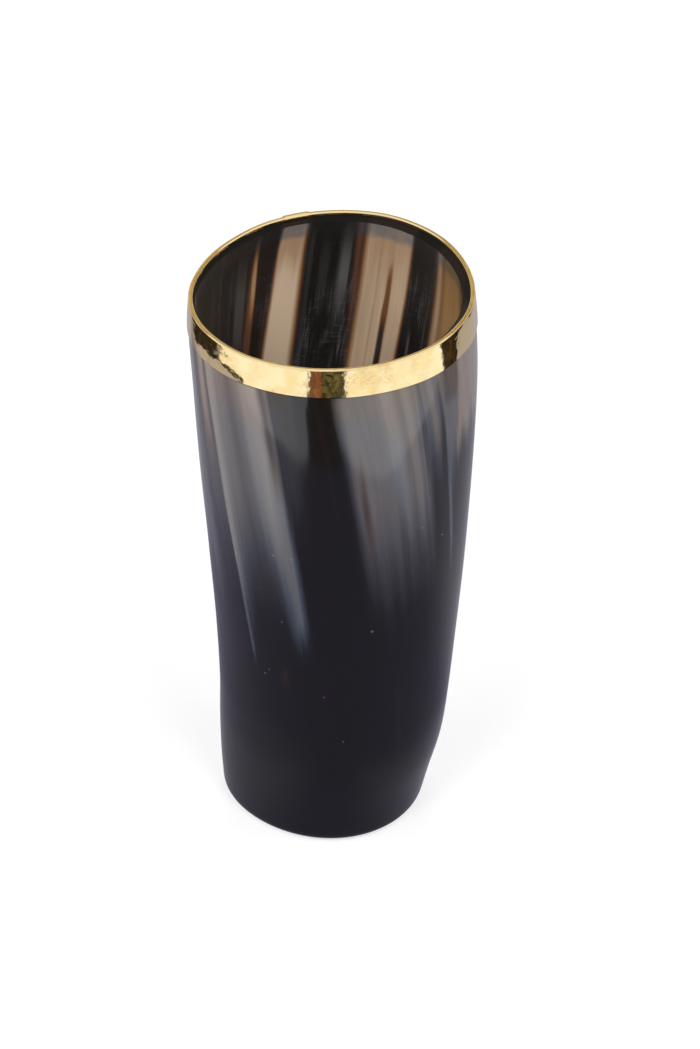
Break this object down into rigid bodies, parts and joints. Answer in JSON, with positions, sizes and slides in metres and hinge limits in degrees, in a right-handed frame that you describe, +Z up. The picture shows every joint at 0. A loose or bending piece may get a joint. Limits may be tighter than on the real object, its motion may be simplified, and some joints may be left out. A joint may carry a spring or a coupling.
{
  "type": "horn drinking cup",
  "caption": "Tall tapered tumbler of polished natural horn with a sheet-brass collar folded over its lip.",
  "frame": {"origin": "middle of the foot, on the surface that the cup stands on", "axes": "+Z up along the cup to the mouth, -Y the front of the picture, +X to its right"},
  "size_m": [0.0701, 0.0725, 0.1526],
  "materials": {
    "horn": "polished natural horn: near black below, milky grey and brown streaks towards the mouth",
    "disc_horn": "flat dark horn, sanded and lightly polished",
    "resin": "clear brownish resin bead",
    "adhesive": "thin hidden adhesive film",
    "brass": "polished sheet brass with slight waves and light tarnish",
    "solder": "pale hard solder in the lap of the strip"
  },
  "bodies": {
    "root": {"horn_body": "horn", "base_disc": "disc_horn", "base_seal": "resin", "rim_bond": "adhesive", "rim_band": "brass", "rim_solder": "solder"}
  },
  "joints": []
}
